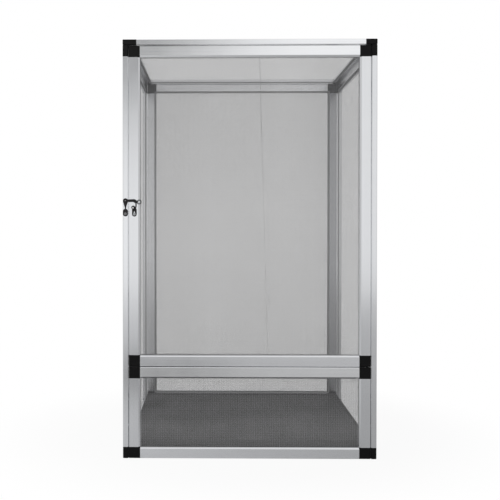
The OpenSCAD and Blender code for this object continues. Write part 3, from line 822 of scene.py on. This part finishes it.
def shade_pads(name, spans, low, high, body):
    """Tubes along X, one per span, between two corners of a box.

    In Y and Z the ring is the box's half-size times sign(c) |c|^k and sign(s) |s|^k, with k = PAD_SQUARE.
    """
    turn = (np.arange(PAD_SIDES) + 0.5) * 2 * math.pi / PAD_SIDES
    ring = np.stack([np.cos(turn), np.sin(turn)])
    ring = np.sign(ring) * np.abs(ring) ** PAD_SQUARE
    middle, half = (np.array(low) + high) / 2, (np.array(high) - low) / 2
    y, z = middle[1:, None] + half[1:, None] * ring
    rings = np.stack(np.broadcast_arrays(np.array(spans)[:, :, None], y, z), axis=-1)
    faces = tube_faces(len(spans), 2, PAD_SIDES)
    # The pads are near-black to paint the shade in the gaps.
    pads = new_piece(name, rings.reshape(-1, 3), faces, black_finishes["seal_rubber"], body)
    print(pads.name, "along X", np.round(np.array(spans) / MM, 2).tolist(), "mm")


SEAL_LOW, SEAL_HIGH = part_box("door_seal")
DOOR_BLOCKS_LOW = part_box("door_corner_blocks")[0]
FEET_LOW, FEET_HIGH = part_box("lower_corner_blocks")
GAP_ENDS = (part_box("left_corner_blocks")[1][0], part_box("right_corner_blocks")[0][0])
PIN_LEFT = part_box("lower_hinge_pin")[0][0]
door_spans = [(DOOR_BLOCKS_LOW[0] + PAD_CLEAR, SEAL_LOW[0]), (SEAL_HIGH[0], PIN_LEFT - PIN_CLEAR)]
shade_pads("door_foam_pads", door_spans, SEAL_LOW, SEAL_HIGH, body_of("door_seal"))
feet_spans = [(GAP_ENDS[0], FEET_LOW[0]), (FEET_HIGH[0], GAP_ENDS[1])]
feet_box = ((0.0, FEET_LOW[1] + FEET_PAD_IN, FEET_PAD_LIFT), (0.0, FEET_HIGH[1], LOWER_LEDGE))
shade_pads("feet_foam_pads", feet_spans, *feet_box, body_of("lower_corner_blocks"))


# %% [markdown]
# ## A cast latch
#
# The keeper, the hook plate and the hook are small die castings. The solids give them square edges,
# but a casting has soft ones, and at this size the soft edges are all that catches the light. A
# Bevel modifier stumbles over tight corners. A signed distance doesn't: it says how far a point
# lies outside an outline, minus inside. Round cones strung along a path make every outline here, a
# minimum joins two of them, and a maximum cuts one away.

# %% Outlines as signed distances
def chain(x, z, path, radii):
    """Signed distance to round cones between the points of a path, with a radius at each point.

    For a cone along h with radii p and q: b = (p - q) / |h|, a = sqrt(1 - b2). Beside the axis the distance
    is a s + b t - p, with t along and s across the axis; beyond the tangent points it is the end disc's.
    """
    far = np.full(np.shape(x), np.inf)
    for (start, p), (end, q) in zip(zip(path[:-1], radii[:-1]), zip(path[1:], radii[1:])):
        along = np.subtract(end, start)
        length = math.hypot(*along)
        b = (p - q) / length
        a = math.sqrt(1 - b * b)
        t = ((x - start[0]) * along[0] + (z - start[1]) * along[1]) / length
        s = abs((x - start[0]) * along[1] - (z - start[1]) * along[0]) / length
        turn = a * t - b * s
        beside = np.where(turn < 0, np.hypot(s, t) - p, a * s + b * t - p)
        far = np.minimum(far, np.where(turn > a * length, np.hypot(s, t - length) - q, beside))
    return far


def disc(x, z, at, radius):
    """Signed distance to a disc."""
    return np.hypot(x - at[0], z - at[1]) - radius


def arc(at, radius, first, last, count=24):
    """Points along an arc, from one angle to another in degrees."""
    turn = np.radians(np.linspace(first, last, count))
    return np.stack([at[0] + radius * np.cos(turn), at[1] + radius * np.sin(turn)], axis=1)


print("distance to a 2 mm disc from its middle:", disc(0.0, 0.0, (0.0, 0.0), 2.0))


# %% [markdown]
# ## From an outline to soft rims
#
# A small casting is a flat plate whose rim rolls over. Once an outline is a distance, the roll is a
# formula: the face sinks like a quarter circle over the last stretch before the edge. A fan of
# triangles over the outline would pinch the highlights. Here a square grid is cut to the outline,
# and its outer points are pulled onto it.

# %% From an outline to a casting
GRID = 0.2 * MM
NUDGE = 0.01 * MM
LEAST_SLOPE = 0.25


def cast_plate(outline, low, high, back, front, rounding, drops):
    """Points and faces of a plate in the XZ plane with soft rims.

    A square grid keeps the cells whose middle lies inside the outline, and the outer points of those cells
    are pulled onto it along the gradient. At a distance e inside, the faces lie
    drop (1 - sqrt(1 - (1 - e / r)2)) below their full height, for e < r = rounding. The first of the two
    drops is the back's, and the second the front's.
    """
    x, z = np.meshgrid(*(np.arange(low[i], high[i] + GRID, GRID) for i in (0, 1)), indexing="ij")
    kept = np.pad(outline(x[:-1, :-1] + GRID / 2, z[:-1, :-1] + GRID / 2) < 0, 1)
    around = sum(kept[i:i + x.shape[0], j:j + x.shape[1]].astype(int) for i in (0, 1) for j in (0, 1))
    rim = (around > 0) & (around < 4)
    slope_x = (outline(x + NUDGE, z) - outline(x - NUDGE, z)) / (2 * NUDGE)
    slope_z = (outline(x, z + NUDGE) - outline(x, z - NUDGE)) / (2 * NUDGE)
    pull = np.where(rim, outline(x, z) / np.maximum(slope_x ** 2 + slope_z ** 2, LEAST_SLOPE), 0.0)
    x, z = x - pull * slope_x, z - pull * slope_z
    inside = np.clip(-outline(x, z) / rounding, 0.0, 1.0)
    sunk = 1 - np.sqrt(1 - (1 - inside) ** 2)
    sheets = [np.stack([x, level + depth * sunk, z], axis=-1)
              for level, depth in ((back(x, z), -drops[0]), (front(x, z), drops[1]))]
    number = np.arange(x.size).reshape(x.shape)
    cells = np.stack([number[:-1, :-1], number[1:, :-1], number[1:, 1:], number[:-1, 1:]], axis=-1)
    middle = kept[1:-1, 1:-1]
    beyond = [kept[1:-1, :-2], kept[2:, 1:-1], kept[1:-1, 2:], kept[:-2, 1:-1]]
    faces = [cells[middle][:, ::-1], cells[middle] + x.size]
    for side, neighbour in enumerate(beyond):
        edge = cells[middle & ~neighbour][:, [side, (side + 1) % 4]]
        faces.append(np.concatenate([edge, edge[:, ::-1] + x.size], axis=1))
    faces = np.concatenate(faces)
    used, faces = np.unique(faces, return_inverse=True)
    return np.concatenate(sheets).reshape(-1, 3)[used], faces.reshape(-1, 4).tolist()


def flat(level):
    """A face at one depth."""
    return lambda x, z: np.full(np.shape(x), level)


print("castings are cut from a grid of", GRID / MM, "mm")


# %% [markdown]
# ## Finding the latch
#
# The castings have to sit where the solids were, or the hook would turn about the wrong point.
# Their places could be typed in once more. Reading them from the joint and from the boxes of the
# solids keeps both models together.

# %% Where the latch is
JOINTS = frame["record"]["behaviour"]["joints"]
PIVOT = next(joint["pos_m"] for joint in JOINTS if joint["name"] == "hook_pivot")
HUB = np.array([PIVOT[0], PIVOT[2]])
DOOR_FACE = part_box("hook_plate")[1][1]
PLATE_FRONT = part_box("hook_plate")[0][1]
POST = np.array([(KEEPER_LOW[0] + KEEPER_HIGH[0]) / 2, KEEPER_HIGH[2] - KEEPER_R])
FOOT = np.array([POST[0], KEEPER_LOW[2] + KEEPER_R])
TAIL_HIGH, TAIL_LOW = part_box("hook_plate")[1][0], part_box("hook_plate")[0][2]
print("hub", np.round(HUB / MM, 2), "post", np.round(POST / MM, 2), "foot", np.round(FOOT / MM, 2))


# %% [markdown]
# ## The two plates
#
# The keeper is a drop with a narrow waist and a foot that takes a screw, and its post is a pin with
# a domed end. The plate on the door has a round head below the rivet and a broad tail with a slot
# for its screw. Both could be drawn as curves and extruded. Built from discs and cones they need
# only a few sizes, and the soft rims come with them.

# %% Keeper and hook plate
WAIST_R = 1.3 * MM
WAIST_RISE = 0.5 * MM
FOOT_L = 4.4 * MM
POST_R = 1.6 * MM
SCREW_R = 1.6 * MM
SLOT_L = 4.4 * MM
SLOT_END_R = 0.7 * MM
PLATE_R = 3.1 * MM
TAIL_DROP = 4.6 * MM
TAIL_R = 4.3 * MM
RIVET_R = 1.7 * MM
POST_SIDES = 28
DOME_RINGS = 7
DOME_END = 80.0
DOME_SHARE = 0.5
SHARP_ANGLE = math.radians(50)
MARGIN = 0.6 * MM
KEEPER_ROUNDING = 2.2 * MM
PLATE_ROUNDING = 3.6 * MM
PLATE_DROPS = (0.0, 0.8 * MM)


def keeper_outline(x, z):
    """A drop that narrows to a waist, and a foot with a screw hole."""
    waist = np.array([POST[0], HUB[1] + WAIST_RISE])
    knee = FOOT + (0.0, FOOT_L)
    drop = chain(x, z, [POST, waist, knee], [KEEPER_R, WAIST_R, WAIST_R])
    foot = chain(x, z, [knee, FOOT], [KEEPER_R, KEEPER_R])
    return np.maximum(np.minimum(drop, foot), -disc(x, z, FOOT, SCREW_R))


def plate_outline(x, z):
    """A round head and a tail to the right of it, with a hole for the rivet and a slot for the screw."""
    start = np.array([TAIL_HIGH - TAIL_R, HUB[1] - TAIL_DROP])
    end = np.array([start[0], TAIL_LOW + TAIL_R])
    solid = np.minimum(disc(x, z, HUB, PLATE_R), chain(x, z, [start, end], [TAIL_R, TAIL_R]))
    slot = chain(x, z, [end, end + (0.0, SLOT_L)], [SCREW_R, SLOT_END_R])
    return np.maximum(solid, -np.minimum(disc(x, z, HUB, RIVET_R), slot))


def round_post(at, back, front, radius):
    """Points and faces of a post along Y: a straight side and an end rounded to a quarter ellipse."""
    turn = np.radians(np.linspace(0.0, DOME_END, DOME_RINGS))
    depth = np.concatenate([[back], front + DOME_SHARE * radius * (1 - np.sin(turn))])
    width = radius * np.concatenate([[1.0], np.cos(turn)])
    around = np.arange(POST_SIDES) * 2 * math.pi / POST_SIDES
    x = at[0] + width[:, None] * np.cos(around)
    z = at[1] + width[:, None] * np.sin(around)
    points = np.stack([x, np.repeat(depth[:, None], POST_SIDES, axis=1), z], axis=-1)
    return points.reshape(-1, 3), tube_faces(1, depth.size, POST_SIDES)


def cast_piece(name, node, shells):
    """One latch piece made of closed shells, in place of a node."""
    start, points, faces = 0, [], []
    for shell_points, shell_faces in shells:
        if signed_volume(shell_points, shell_faces) < 0:
            shell_faces = [face[::-1] for face in shell_faces]
        points.append(shell_points)
        faces += [[start + index for index in face] for face in shell_faces]
        start += len(shell_points)
    finish = metal_finishes["latch_metal"]
    piece = new_piece(name, np.concatenate(points), faces, finish, body_of(node))
    piece.data.set_sharp_from_angle(angle=SHARP_ANGLE)
    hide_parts(node)
    print(name, len(faces), "faces")


keeper_shell = cast_plate(keeper_outline, KEEPER_LOW[[0, 2]] - MARGIN, KEEPER_HIGH[[0, 2]] + MARGIN,
                          flat(DOOR_FACE), flat(PLATE_FRONT), KEEPER_ROUNDING, PLATE_DROPS)
post_shell = round_post(POST, (DOOR_FACE + PLATE_FRONT) / 2, KEEPER_LOW[1], POST_R)
cast_piece("keeper_casting", "latch_keeper", [keeper_shell, post_shell])
plate_box = [np.array(corner)[[0, 2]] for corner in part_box("hook_plate")]
plate_shell = cast_plate(plate_outline, plate_box[0] - MARGIN, plate_box[1] + MARGIN,
                         flat(DOOR_FACE), flat(PLATE_FRONT), PLATE_ROUNDING, PLATE_DROPS)
cast_piece("plate_casting", "hook_plate", [plate_shell])


# %% [markdown]
# ## The hook that swings
#
# The hook starts at a boss on the rivet, leaves it through a thin neck, swells round a bend into an
# arm and ends in a lobe with a slot for the post. The ring beside the neck is what a finger pulls.
# A profile swept along a curve would keep one width. A chain of cones has a radius at each point,
# so the neck can swell.

# %% The hook
ARM_R = 2.5 * MM
NECK_SWELL = 0.4 * MM
ROOT = (3.0 * MM, -2.6 * MM)
ROOT_R = 1.2 * MM
THROAT_R = 1.0 * MM
NECK_R = 5.0 * MM
NECK_SPAN = (0.0, 95.0)
NECK_RISE = 7.5 * MM
BOSS_R = 2.7 * MM
LOBE_R = 4.4 * MM
CURL_R = 4.4 * MM
CURL_W = 1.7 * MM
CURL_PROUD = 1.6 * MM
CURL_STEP = 0.6 * MM
CURL_TURN = math.radians(12)
SLOT_R = 2.0 * MM
SLOT_TURN = 60.0
HOOK_GAP = 0.4 * MM
HOOK_T = 2.2 * MM
HOOK_ROUNDING = 1.8 * MM
HOOK_DROPS = (0.5 * MM, 1.2 * MM)
HOOK_BACK = PLATE_FRONT - HOOK_GAP
HOOK_FRONT = HOOK_BACK - HOOK_T
NECK_AT = HUB + (0.0, NECK_RISE)
CURL_FAR = NECK_R + ARM_R + CURL_R - CURL_W / 2
CURL_AT = NECK_AT + CURL_FAR * np.array([math.cos(CURL_TURN), math.sin(CURL_TURN)])


def hook_outline(x, z):
    """Boss, neck, arm, end lobe and finger curl, less the rivet hole, the curl's eye and the post's slot.

    Along the neck the radius goes from THROAT_R to ARM_R by the middle, plus NECK_SWELL sin(pi share).
    """
    neck = arc(NECK_AT, NECK_R, *NECK_SPAN)
    share = np.linspace(0.0, 1.0, len(neck))
    swell = THROAT_R + (ARM_R - THROAT_R) * np.minimum(1.0, 2 * share)
    swell = swell + NECK_SWELL * np.sin(math.pi * share)
    path = [HUB, HUB + ROOT, (NECK_AT[0] + NECK_R, HUB[1] + ROOT_R), *neck, POST]
    radii = [ROOT_R, ROOT_R, THROAT_R, *swell, ARM_R]
    body = np.minimum(disc(x, z, HUB, BOSS_R), chain(x, z, path, radii))
    body = np.minimum(body, np.minimum(disc(x, z, POST, LOBE_R), disc(x, z, CURL_AT, CURL_R)))
    reach = math.hypot(*(POST - HUB))
    turn = math.degrees(math.atan2(*(POST - HUB)[::-1]))
    slot = arc(HUB, reach, turn, turn + SLOT_TURN)
    holes = np.minimum(disc(x, z, HUB, RIVET_R), disc(x, z, CURL_AT, CURL_R - CURL_W))
    return np.maximum(body, -np.minimum(holes, chain(x, z, slot, [SLOT_R] * len(slot))))


def hook_front(x, z):
    """The finger curl stands proud of the arm, with a soft step round it."""
    step = np.clip((CURL_STEP / 2 - disc(x, z, CURL_AT, CURL_R)) / CURL_STEP, 0.0, 1.0)
    return HOOK_FRONT - CURL_PROUD * step * step * (3 - 2 * step)


hook_box = [np.array(corner)[[0, 2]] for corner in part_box("latch_hook")]
hook_shell = cast_plate(hook_outline, hook_box[0] - MARGIN, hook_box[1] + MARGIN,
                        flat(HOOK_BACK), hook_front, HOOK_ROUNDING, HOOK_DROPS)
cast_piece("hook_casting", "latch_hook", [hook_shell])


# %% [markdown]
# ## One small lamp
#
# The room alone leaves the dark castings without a glint. A small square lamp high on the left puts
# one highlight on each dome. It stands outside the directions that the flat rails mirror towards
# the camera, so they don't show it.

# %% Lamp
LAMP_AT = (-0.75, -1.65, 1.15)
LAMP_SIZE = 0.14
LAMP_POWER = 2.0


def glint_lamp():
    """A square lamp that faces the latch."""
    light = bpy.data.lights.new("glint_lamp", "AREA")
    light.size = LAMP_SIZE
    light.energy = LAMP_POWER
    lamp = bpy.data.objects.new("glint_lamp", light)
    aim = np.array([HUB[0], DOOR_FACE, HUB[1]]) - LAMP_AT
    lamp.location = LAMP_AT
    lamp.rotation_euler = (math.acos(-aim[2] / np.linalg.norm(aim)), 0.0, math.atan2(-aim[0], aim[1]))
    scene.collection.objects.link(lamp)
    return lamp


print("lamp", glint_lamp().data.energy, "W")
